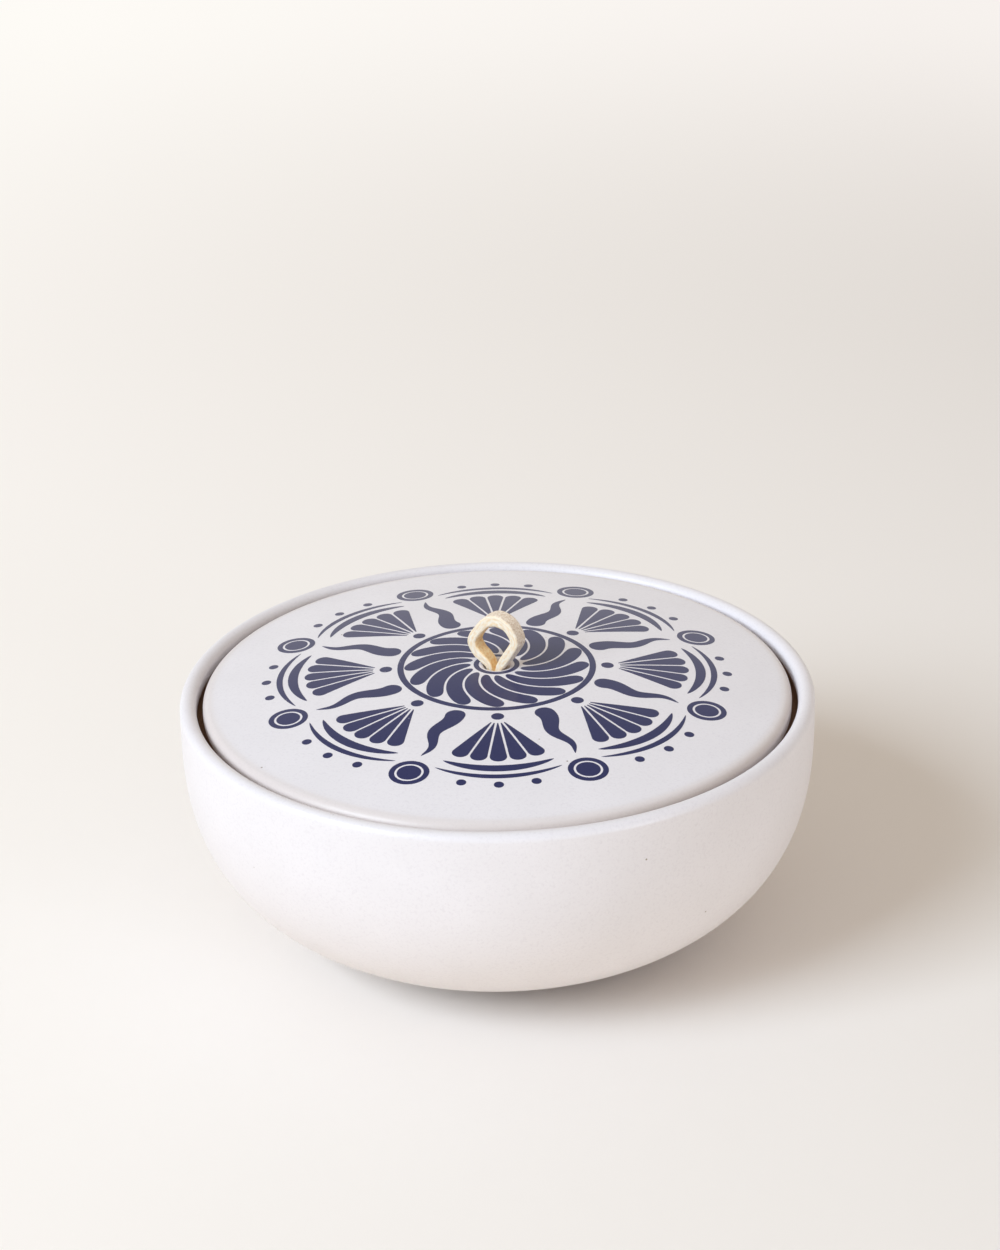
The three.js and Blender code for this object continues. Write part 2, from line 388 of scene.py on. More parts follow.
@dataclass(frozen=True)
class SatinGlaze:
    """Satin-matt white glaze, dipped and fired on brown stoneware.

    It gives the eye a soft, slightly cool white with a broad sheen, a faint orange-peel skin with a fine
    mottled tooth, a few iron specks, a warmer tone where it thins over an edge, and bare brown clay where
    it was wiped off. Over the lid's edge that warmer, darker tone also stands for painted shade, the shade
    of the gap round the lid. The tooth is drawn a few times coarser than the real one, so that it shows.
    """

    white: str = "#ebe9f0"
    cloud: str = "#e4e2e8"
    pit: str = "#dcd9e1"
    # Warmer, darker tone of thin glaze, which along the lid's edge is also painted shade.
    thin_glaze_and_shade: str = "#c9b7a8"
    speck: str = "#8d8178"
    clay: str = "#7a5744"
    grit: str = "#a07e66"
    cloud_size: float = 16.0
    tooth_size: float = 0.7
    tooth_span: tuple[float, float] = (0.5, 0.85)
    peel_size: float = 1.4
    peel_depth: float = 0.02
    speck_spacing: float = 9.0
    speck_radius: float = 0.3
    grit_size: float = 0.6
    roughness: tuple[float, float] = (0.33, 0.45)
    clay_roughness: float = 0.92
    ior: float = 1.5

    def material(self) -> bpy.types.Material:
        """Builds the finish.

        Returns:
            The node material.
        """
        material = bpy.data.materials.new("satin_glazed_stoneware")
        tree = new_tree(material)
        place = add_node(tree, "TexCoord")["Object"]
        bare = add_node(tree, "Attribute", attribute_name=Mark.BARE.value)["Fac"]
        # Share of thin glaze, which along the lid's edge is also painted shade.
        thin_glaze_and_shade = add_node(tree, "Attribute", attribute_name=Mark.THIN_GLAZE_AND_SHADE.value)["Fac"]
        clouds, tooth, grains, peel = (add_node(tree, "TexNoise", {
            "Vector": place, "Scale": 1 / (size * MM), "Detail": detail, "Roughness": roughness,
        })["Fac"] for size, detail, roughness in (
            (self.cloud_size, 3.0, 0.5), (self.tooth_size, 3.0, 0.7),
            (self.grit_size, 4.0, 0.5), (self.peel_size, 2.0, 0.5)))
        iron = add_node(tree, "TexVoronoi", {
            "Vector": place, "Scale": 1 / (self.speck_spacing * MM)})["Distance"]
        reach = self.speck_radius / self.speck_spacing
        pits, spots = (add_node(tree, "MapRange", {
            "Value": value, "From Min": start, "From Max": end})["Result"] for value, start, end in (
            (tooth, *self.tooth_span), (iron, reach, reach / 2)))
        clay = add_node(tree, "Mix", {
            "Factor_Float": grains, "A_Color": linear(self.clay), "B_Color": linear(self.grit),
        }, data_type="RGBA")["Result_Color"]
        colour = linear(self.white)
        for share, over in (
            (clouds, linear(self.cloud)), (pits, linear(self.pit)), (thin_glaze_and_shade, linear(self.thin_glaze_and_shade)),
            (spots, linear(self.speck)), (bare, clay),
        ):
            colour = add_node(tree, "Mix", {
                "Factor_Float": share, "A_Color": colour, "B_Color": over}, data_type="RGBA")["Result_Color"]
        sheen = add_node(tree, "MapRange", {
            "Value": clouds, "To Min": self.roughness[0], "To Max": self.roughness[1]})["Result"]
        roughness, skin = (add_node(tree, "Mix", {
            "Factor_Float": bare, "A_Float": glazed, "B_Float": unglazed,
        })["Result_Float"] for glazed, unglazed in ((sheen, self.clay_roughness), (peel, grains)))
        relief = add_node(tree, "Bump", {"Height": skin, "Distance": self.peel_depth * MM})["Normal"]
        shader = add_node(tree, "BsdfPrincipled", {
            "Base Color": colour, "Roughness": roughness, "Normal": relief, "IOR": self.ior})["BSDF"]
        add_node(tree, "OutputMaterial", {"Surface": shader})
        return material


@dataclass(frozen=True)
class FiredInk:
    """Navy ceramic ink, screen printed on the glaze and fired into it.

    It gives the eye a dense blue with the satin sheen of the glaze, a fine uneven grain from the screen
    and a few pinholes that show the white.
    """

    deep: str = "#282b58"
    worn: str = "#343863"
    pinhole: str = "#b9b9c4"
    grain_size: float = 0.55
    grain_depth: float = 0.008
    pinhole_spacing: float = 4.5
    pinhole_radius: float = 0.14
    roughness: float = 0.29
    ior: float = 1.5

    def material(self) -> bpy.types.Material:
        """Builds the finish.

        Returns:
            The node material.
        """
        material = bpy.data.materials.new("fired_navy_ink")
        tree = new_tree(material)
        place = add_node(tree, "TexCoord")["Object"]
        grain = add_node(tree, "TexNoise", {
            "Vector": place, "Scale": 1 / (self.grain_size * MM), "Detail": 3.0})["Fac"]
        bubbles = add_node(tree, "TexVoronoi", {
            "Vector": place, "Scale": 1 / (self.pinhole_spacing * MM)})["Distance"]
        reach = self.pinhole_radius / self.pinhole_spacing
        holes = add_node(tree, "MapRange", {
            "Value": bubbles, "From Min": reach, "From Max": reach / 2})["Result"]
        colour = linear(self.deep)
        for share, over in ((grain, self.worn), (holes, self.pinhole)):
            colour = add_node(tree, "Mix", {
                "Factor_Float": share, "A_Color": colour, "B_Color": linear(over),
            }, data_type="RGBA")["Result_Color"]
        relief = add_node(tree, "Bump", {"Height": grain, "Distance": self.grain_depth * MM})["Normal"]
        shader = add_node(tree, "BsdfPrincipled", {
            "Base Color": colour, "Roughness": self.roughness, "Normal": relief, "IOR": self.ior})["BSDF"]
        add_node(tree, "OutputMaterial", {"Surface": shader})
        return material


@dataclass(frozen=True)
class LaceLeather:
    """Vegetable-tanned leather lace, cut from the hide and left undyed.

    It gives the eye three faces: a smooth honey grain side inside the loop, a napped beige flesh side
    outside it, and pale fibrous edges where the knife went through. Pores, nap and fibres are drawn two
    or three times coarser than the real ones, so that they show.
    """

    grain: str = "#ffe9c0"
    grain_dark: str = "#f2c585"
    flesh: str = "#fdf2e4"
    flesh_dark: str = "#cdb092"
    cut: str = "#fff6e6"
    cut_dark: str = "#f7daae"
    pore_size: float = 0.6
    nap_size: float = 0.5
    fibre_size: float = 0.45
    fibre_stretch: float = 0.3
    relief: float = 0.16
    tone_span: tuple[float, float] = (0.3, 0.62)
    grain_roughness: float = 0.55
    nap_roughness: float = 0.95
    ior: float = 1.45
    fuzz: float = 0.15
    fuzz_roughness: float = 0.5

    def material(self) -> bpy.types.Material:
        """Builds the finish.

        Returns:
            The node material.
        """
        material = bpy.data.materials.new("undyed_leather_lace")
        tree = new_tree(material)
        strip = add_node(tree, "TexCoord")["UV"]
        place = add_node(tree, "TexCoord")["Object"]
        flesh = add_node(tree, "Attribute", attribute_name=Mark.FLESH.value)["Fac"]
        edge = add_node(tree, "Attribute", attribute_name=Mark.EDGE.value)["Fac"]
        drawn = add_node(tree, "Mapping", {
            "Vector": strip, "Scale": (self.fibre_stretch, 1.0, 1.0)})["Vector"]
        pores, nap, fibres = (add_node(tree, "TexNoise", {
            "Vector": where, "Scale": 1 / (size * MM), "Detail": detail, "Roughness": roughness,
        })["Fac"] for where, size, detail, roughness in (
            (place, self.pore_size, 4.0, 0.5), (place, self.nap_size, 5.0, 0.7),
            (drawn, self.fibre_size, 4.0, 0.5)))
        sides = []
        for tone, light, dark in (
            (pores, self.grain, self.grain_dark),
            (nap, self.flesh, self.flesh_dark),
            (fibres, self.cut, self.cut_dark),
        ):
            spread = add_node(tree, "MapRange", {
                "Value": tone, "From Min": self.tone_span[0], "From Max": self.tone_span[1]})["Result"]
            sides.append(add_node(tree, "Mix", {
                "Factor_Float": spread, "A_Color": linear(dark), "B_Color": linear(light),
            }, data_type="RGBA")["Result_Color"])
        colour = sides[0]
        for share, over in zip((flesh, edge), sides[1:]):
            colour = add_node(tree, "Mix", {
                "Factor_Float": share, "A_Color": colour, "B_Color": over}, data_type="RGBA")["Result_Color"]
        napped = add_node(tree, "Math", {"Value": flesh, "Value_001": edge}, operation="MAXIMUM")["Value"]
        roughness, height = (add_node(tree, "Mix", {
            "Factor_Float": napped, "A_Float": smooth, "B_Float": rough,
        })["Result_Float"] for smooth, rough in ((self.grain_roughness, self.nap_roughness), (pores, nap)))
        relief = add_node(tree, "Bump", {"Height": height, "Distance": self.relief * MM})["Normal"]
        shader = add_node(tree, "BsdfPrincipled", {
            "Base Color": colour, "Roughness": roughness, "Normal": relief, "IOR": self.ior,
            "Sheen Weight": self.fuzz, "Sheen Roughness": self.fuzz_roughness})["BSDF"]
        add_node(tree, "OutputMaterial", {"Surface": shader})
        return material


@dataclass
class Bowl:
    """The bowl: a foot ring, a full belly, a rounded lip and a ledge inside the mouth for the lid."""

    radius: float
    height: float
    fullness: float = 2.72
    upright: float = 3.8
    lip: float = 4.0
    ledge: float = 5.0
    ledge_round: float = 1.0
    ledge_drop: float = 6.1
    hollow_fullness: float = 2.9
    floor: float = 5.0
    foot_radius: float = 31.0
    foot_width: float = 4.0
    foot_recess: float = 1.6
    foot_round: float = 0.5
    bare_foot: float = 1.1
    bare_recess: float = 1.0
    bare_ledge: float = 2.8
    bare_blur: float = 0.3
    wiping: float = 0.35
    lip_thinning: float = 0.05
    lip_reach: float = 1.2
    turns: int = 288
    curve_steps: int = 56
    round_steps: int = 10
    wall_steps: int = 6

    def profile(self) -> np.ndarray:
        """Draws the section: out along the foot, up the belly, over the lip, past the ledge and down inside.

        Returns:
            Points [radius, height], counter-clockwise, with both ends on the axis.
        """
        lip_round = self.lip / 2
        mouth = self.radius - self.lip
        ledge_inner = mouth - self.ledge
        ledge_height = self.height - self.ledge_drop
        hollow_top = ledge_height - self.ledge_round
        floor = self.foot_recess + self.floor
        outside = belly(
            self.radius, 0, self.height - lip_round - self.upright, self.fullness, self.curve_steps,
            self.foot_radius)
        recess_edge = self.foot_radius - self.foot_width
        foot = soften(np.array([
            [0, self.foot_recess], [recess_edge - self.foot_recess, self.foot_recess], [recess_edge, 0],
            [self.foot_radius, 0], outside[0], outside[1]]), self.foot_round, self.wall_steps)
        hollow = belly(
            ledge_inner, floor, hollow_top - floor, self.hollow_fullness, self.curve_steps)
        return np.vstack([
            foot,
            outside[2:],
            arc((self.radius - lip_round, self.height - lip_round), lip_round, 0, math.pi,
                2 * self.round_steps),
            wall(mouth, self.height - lip_round, ledge_height + self.ledge_round, self.wall_steps),
            arc((mouth - self.ledge_round, ledge_height + self.ledge_round), self.ledge_round, 0,
                -math.pi / 2, self.round_steps),
            arc((ledge_inner + self.ledge_round, hollow_top), self.ledge_round, math.pi / 2, math.pi,
                self.round_steps),
            hollow[-2::-1],
        ])

    def build(self, glaze: bpy.types.Material) -> None:
        """Makes the bowl, bare on its foot ring and on the ledge where the lid was fired.

        Args:
            glaze: the finish.
        """
        surface = revolve(self.profile(), self.turns)
        radius = np.hypot(surface.points[:, 0], surface.points[:, 1])
        height = surface.points[:, 2]
        mouth = self.radius - self.lip
        over_ledge = height - (self.height - self.ledge_drop)
        ring_inner = self.foot_radius - self.foot_width - self.bare_recess
        ring = smooth_step(radius, ring_inner - self.bare_blur, ring_inner)
        foot = ring * (1 - smooth_step(height, self.bare_foot - self.bare_blur, self.bare_foot))
        inside = np.abs(radius - mouth + self.ledge / 2) < self.ledge / 2 + self.bare_blur
        wiped = over_ledge - wavering(surface.points, self.wiping)
        seat = 1 - smooth_step(wiped, self.bare_ledge - 2 * self.bare_blur, self.bare_ledge)
        seat = seat * inside * (over_ledge > -self.ledge_round)
        surface.marks[Mark.BARE] = np.maximum(foot, seat)
        lip = smooth_step(height, self.height - self.lip_reach, self.height)
        surface.marks[Mark.THIN_GLAZE_AND_SHADE] = self.lip_thinning * lip
        attach(surface.place("bowl_body", glaze), Body.BOWL, "bowl")


@dataclass
class Lid:
    """The lid: a shallow dome with a rounded edge, a seat ring under it and a hole for the lace."""

    seat_height: float
    radius: float
    edge_height: float = 6.0
    rise: float = 5.8
    edge_round: float = 2.2
    seat_round: float = 1.0
    seat_width: float = 5.5
    thickness: float = 4.5
    hole_radius: float = 2.9
    hole_round: float = 1.2
    hole_chamfer: float = 0.5
    step_round: float = 0.35
    bare_edge: float = 2.8
    bare_blur: float = 0.25
    wiping: float = 0.35
    # A warmer, darker band over the edge: thin glaze, and painted shade of the gap round the lid.
    edge_thin_glaze_and_shade: float = 0.45
    edge_reach: float = 3.5
    hole_thinning: float = 0.5
    hole_reach: float = 0.8
    turns: int = 288
    dome_steps: int = 60
    round_steps: int = 12
    wall_steps: int = 6
    bore_steps: int = 5

    @property
    def sphere(self) -> float:
        """Radius of the sphere of the dome, which drops by the rise at the start of the edge."""
        half_chord = self.radius - self.edge_round
        return (half_chord**2 + self.rise**2) / (2 * self.rise)

    @property
    def centre(self) -> float:
        """Height of that sphere's centre."""
        return self.seat_height + self.edge_height + self.rise - self.sphere

    @property
    def hollow_rim(self) -> float:
        """Radius at which the hollow underside ends and the step down to the seat ring starts."""
        return self.radius - self.seat_width - 2 * self.seat_round

    def dome_height(self, radius: np.ndarray) -> np.ndarray:
        """Height of the dome at a distance from the axis: centre + sqrt(sphere^2 - r^2)."""
        return self.centre + np.sqrt(self.sphere**2 - radius**2)

    def _rounding(self, radius: float, size: float) -> tuple[tuple[float, float], float]:
        """Centre of a rounding that touches the sphere from inside, and the angle where it does."""
        height = self.centre + math.sqrt((self.sphere - size) ** 2 - radius**2)
        return (radius, height), math.atan2(height - self.centre, radius)

    def profile(self) -> np.ndarray:
        """Draws the section: out along the underside, down to the seat, up the edge, over the dome and back.

        Returns:
            Points [radius, height], counter-clockwise; the last joins the first.
        """
        inner_sphere = self.sphere - self.thickness
        hollow_rim = self.hollow_rim
        seat_inner = hollow_rim + self.seat_round
        edge, edge_touch = self._rounding(self.radius - self.edge_round, self.edge_round)
        mouth, mouth_touch = self._rounding(self.hole_radius + self.hole_round, self.hole_round)
        across = np.linspace(
            self.hole_radius + self.hole_chamfer, hollow_rim - self.seat_round, self.dome_steps)
        under = self.centre + np.sqrt(inner_sphere**2 - across**2)
        rim_height = self.centre + math.sqrt(inner_sphere**2 - hollow_rim**2)
        step = soften(np.array([
            [across[-1], under[-1]], [hollow_rim, rim_height - self.seat_round / 2],
            [seat_inner, self.seat_height], [seat_inner + self.seat_round, self.seat_height],
        ]), self.step_round, self.wall_steps)
        top_angles = np.linspace(edge_touch, mouth_touch, self.dome_steps)[1:-1]
        dome = np.stack([
            self.sphere * np.cos(top_angles), self.centre + self.sphere * np.sin(top_angles)], -1)
        bore_bottom = under[0] + self.hole_chamfer
        return np.vstack([
            [[self.hole_radius, bore_bottom]],
            np.stack([across, under], -1)[:-1],
            step,
            arc((self.radius - self.seat_round, self.seat_height + self.seat_round), self.seat_round,
                -math.pi / 2, 0, self.round_steps),
            wall(self.radius, self.seat_height + self.seat_round, edge[1], self.round_steps),
            arc(edge, self.edge_round, 0, edge_touch, self.round_steps),
            dome,
            arc(mouth, self.hole_round, mouth_touch, math.pi, self.round_steps),
            wall(self.hole_radius, mouth[1], bore_bottom, self.bore_steps),
        ])

    def build(self, glaze: bpy.types.Material) -> None:
        """Makes the lid, bare where it rests on the bowl and thinly glazed over its edge, a band that is
        also painted shade.

        Args:
            glaze: the finish.
        """
        surface = revolve(self.profile(), self.turns)
        radius = np.hypot(surface.points[:, 0], surface.points[:, 1])
        wiped = surface.points[:, 2] - self.seat_height + wavering(surface.points, self.wiping)
        seat = smooth_step(radius, self.hollow_rim - self.bare_blur, self.hollow_rim)
        surface.marks[Mark.BARE] = seat * (
            1 - smooth_step(wiped, self.bare_edge - 2 * self.bare_blur, self.bare_edge))
        # Painted shade: the warmer, darker band over the edge is thin glaze and also the shade of the gap
        # round the lid.
        edge = smooth_step(radius, self.radius - self.edge_reach, self.radius)
        hole = 1 - smooth_step(radius, self.hole_radius, self.hole_radius + self.hole_reach)
        surface.marks[Mark.THIN_GLAZE_AND_SHADE] = np.maximum(self.edge_thin_glaze_and_shade * edge, self.hole_thinning * hole)
        attach(surface.place("lid_body", glaze), Body.LID, "lid")


@dataclass
class LidPrint:
    """The print on the dome: a turning sun in a ring of fans and flames, with discs and swags outside it.

    Every shape is a ribbon on the lid seen from above, a middle line with a half width at each point,
    that is bent over the dome and given the thickness of fired ink.
    """

    lid: Lid
    facing: float
    proud: float = 0.04
    sunk: float = 0.06
    white_line: float = 0.55
    point: float = 0.03
    step: float = 0.7
    columns: int = 7
    strand_stations: int = 64
    blade_stations: int = 48
    arch_stations: int = 40
    flame_stations: int = 80
    disc_stations: int = 25
    hub_radius: float = 4.9
    hub_half: float = 0.6
    strands: int = 16
    strand_span: tuple[float, float] = (6.2, 21.4)
    strand_turn: float = 0.85
    strand_curl: float = 1.2
    strand_blunt: int = 9
    band_radius: float = 23.0
    band_half: float = 0.75
    fans: int = 8
    fan_place: float = 26.5
    fan_rivet: float = 1.5
    fan_span: tuple[float, float] = (3.1, 19.5)
    fan_reach: float = 0.64
    fan_blades: int = 5
    fan_arches: tuple[tuple[float, float], ...] = ((22.3, 1.2), (25.5, 0.75))
    arch_reach: float = 0.6
    arch_taper: float = 0.6
    fan_dots: tuple[float, ...] = (-0.3, 0.0, 0.3)
    fan_dot_place: float = 28.7
    fan_dot_radius: float = 1.15
    flame_span: tuple[float, float] = (24.9, 46.0)
    flame_half: float = 2.6
    flame_taper: float = 0.7
    flame_swing: float = 1.8
    flame_swings: float = 1.5
    flame_start: float = 0.35
    flame_calm: float = 0.3
    disc_place: float = 53.0
    disc_radius: float = 2.8
    disc_ring: float = 1.3

    def ribbon(self, middle: np.ndarray, half: np.ndarray, closed: bool = False) -> Surface:
        """Lays a ribbon along a line: point + v times half width times the left normal, v from 1 to -1.

        Args:
            middle: points [x, y] of the middle line.
            half: half width at each of them.
            closed: whether the line closes on itself.

        Returns:
            A closed shell that follows the dome, proud of it on top and sunk into it below.
        """
        if closed:
            ahead = np.roll(middle, -1, 0) - np.roll(middle, 1, 0)
        else:
            ahead = np.gradient(middle, axis=0)
        ahead = ahead / np.linalg.norm(ahead, axis=1, keepdims=True)
        left = np.stack([-ahead[:, 1], ahead[:, 0]], -1)
        across = np.concatenate([[1], np.linspace(1, -1, self.columns), [-1]])
        aside = across[None, :] * np.maximum(half, self.point)[:, None]
        flat = middle[:, None] + aside[..., None] * left[:, None]
        lift = np.full(len(across), self.proud)
        lift[[0, -1]] = -self.sunk
        height = self.lid.dome_height(np.hypot(flat[..., 0], flat[..., 1])) + lift
        return loft(np.concatenate([flat, height[..., None]], -1), closed)

    def turned(self, points: np.ndarray, angle: float) -> np.ndarray:
        """Turns a motif to its place round the lid.

        Args:
            points: points [outwards, leftwards] as seen from the axis.
            angle: the motif's angle in radians, from the one that faces the camera.

        Returns:
            Points [x, y].
        """
        angle = angle + self.facing
        outward = np.array([math.cos(angle), math.sin(angle)])
        leftward = np.array([-math.sin(angle), math.cos(angle)])
        return points[:, :1] * outward + points[:, 1:] * leftward

    def ring(self, place: float, angle: float, radius: float, half: float) -> Surface:
        """Draws a round line.

        Args:
            place: distance of its middle from the axis.
            angle: the motif's angle round the lid.
            radius: the circle's radius.
            half: half the line's width.

        Returns:
            The closed ribbon.
        """
        turn = np.linspace(0, TURN, round(TURN * radius / self.step), endpoint=False)
        circle = np.stack([place + radius * np.cos(turn), radius * np.sin(turn)], -1)
        return self.ribbon(self.turned(circle, angle), np.full(len(turn), half), closed=True)

    def disc(self, place: tuple[float, float], angle: float, radius: float) -> Surface:
        """Draws a filled circle, as a ribbon along its diameter that is sqrt(R^2 - x^2) wide to each side.

        Args:
            place: its middle as [outwards, leftwards].
            angle: the motif's angle round the lid.
            radius: the circle's radius.

        Returns:
            The ribbon.
        """
        x = -radius * np.cos(np.linspace(0, math.pi, self.disc_stations))
        line = np.stack([place[0] + x, place[1] + 0 * x], -1)
        return self.ribbon(self.turned(line, angle), np.sqrt(np.maximum(radius**2 - x**2, 0)))

    def strand(self, angle: float) -> Surface:
        """Draws a strand of the turning sun: its angle grows with its distance, and so does its width.

        Args:
            angle: the strand's angle round the lid.

        Returns:
            The ribbon, with blunt round ends.
        """
        near, far = self.strand_span
        share = (1 - np.cos(np.linspace(0, math.pi, self.strand_stations))) / 2
        r = near + (far - near) * share
        swirl = self.strand_turn * share**self.strand_curl
        slope = np.arctan(r * np.gradient(swirl, r))
        half = math.pi * r / self.strands * np.cos(slope) - self.white_line / 2
        ends = np.sqrt(np.clip(1 - np.abs(2 * share - 1) ** self.strand_blunt, 0, 1))
        line = np.stack([r * np.cos(swirl), r * np.sin(swirl)], -1)
        return self.ribbon(self.turned(line, angle), half * ends)

    def from_fan(self, distance: np.ndarray, lean: np.ndarray) -> np.ndarray:
        """Points [outwards, leftwards] at distances and angles from the rivet of a fan."""
        return np.stack([self.fan_place + distance * np.cos(lean), distance * np.sin(lean)], -1)

    def fan(self, angle: float) -> list[Surface]:
        """Draws a fan: blades that widen from a rivet to round ends, with arches and dots beyond them.

        Args:
            angle: the fan's angle round the lid.

        Returns:
            Its shapes.
        """
        near, far = self.fan_span
        lean_step = 2 * self.fan_reach / self.fan_blades
        shapes = [self.disc((self.fan_place, 0), angle, self.fan_rivet)]
        distance = far - (far - near) * np.linspace(1, 0, self.blade_stations) ** 2
        wide = distance * math.tan(lean_step / 2) - self.white_line / 2
        end = np.clip((distance - far + wide[-1]) / wide[-1], 0, 1)
        for i in range(self.fan_blades):
            lean = lean_step * (i - (self.fan_blades - 1) / 2)
            line = self.from_fan(distance, np.full(len(distance), lean))
            shapes.append(self.ribbon(self.turned(line, angle), wide * np.sqrt(1 - end**2)))
        for radius, half in self.fan_arches:
            lean = np.linspace(-self.arch_reach, self.arch_reach, self.arch_stations)
            line = self.from_fan(np.full(len(lean), radius), lean)
            taper = np.cos(lean / self.arch_reach * math.pi / 2) ** self.arch_taper
            shapes.append(self.ribbon(self.turned(line, angle), half * taper))
        for lean in self.fan_dots:
            at = self.fan_place + self.fan_dot_place * math.cos(lean), self.fan_dot_place * math.sin(lean)
            shapes.append(self.disc(at, angle, self.fan_dot_radius))
        return shapes

    def flame(self, angle: float) -> Surface:
        """Draws a flame: a line with a round head that swings by a sine and a half and narrows to a point.

        Args:
            angle: the flame's angle round the lid.

        Returns:
            The ribbon.
        """
        near, far = self.flame_span
        t = np.linspace(0, 1, self.flame_stations) ** 2
        grown = self.flame_start + (1 - self.flame_start) * t
        swing = self.flame_swing * grown * (1 - t) ** self.flame_calm * np.sin(self.flame_swings * TURN * t)
        head = np.clip(t * (far - near) / self.flame_half, 0, 1)
        half = self.flame_half * (1 - t) ** self.flame_taper * np.sqrt(1 - (1 - head) ** 2)
        return self.ribbon(self.turned(np.stack([near + (far - near) * t, swing], -1), angle), half)

    def build(self, ink: bpy.types.Material) -> None:
        """Makes the whole print as one piece that rides on the lid.

        Args:
            ink: the finish.
        """
        shapes = [
            self.ring(0, 0, self.hub_radius, self.hub_half),
            self.ring(0, 0, self.band_radius, self.band_half),
        ]
        shapes += [self.strand(TURN * i / self.strands) for i in range(self.strands)]
        for i in range(self.fans):
            angle = TURN * i / self.fans
            between = angle + TURN / self.fans / 2
            rim = self.disc_radius + self.white_line + self.disc_ring / 2
            shapes += self.fan(angle)
            shapes += [
                self.flame(between),
                self.disc((self.disc_place, 0), between, self.disc_radius),
                self.ring(self.disc_place, between, rim, self.disc_ring / 2),
            ]
        attach(join(shapes).place("lid_print", ink), Body.LID)


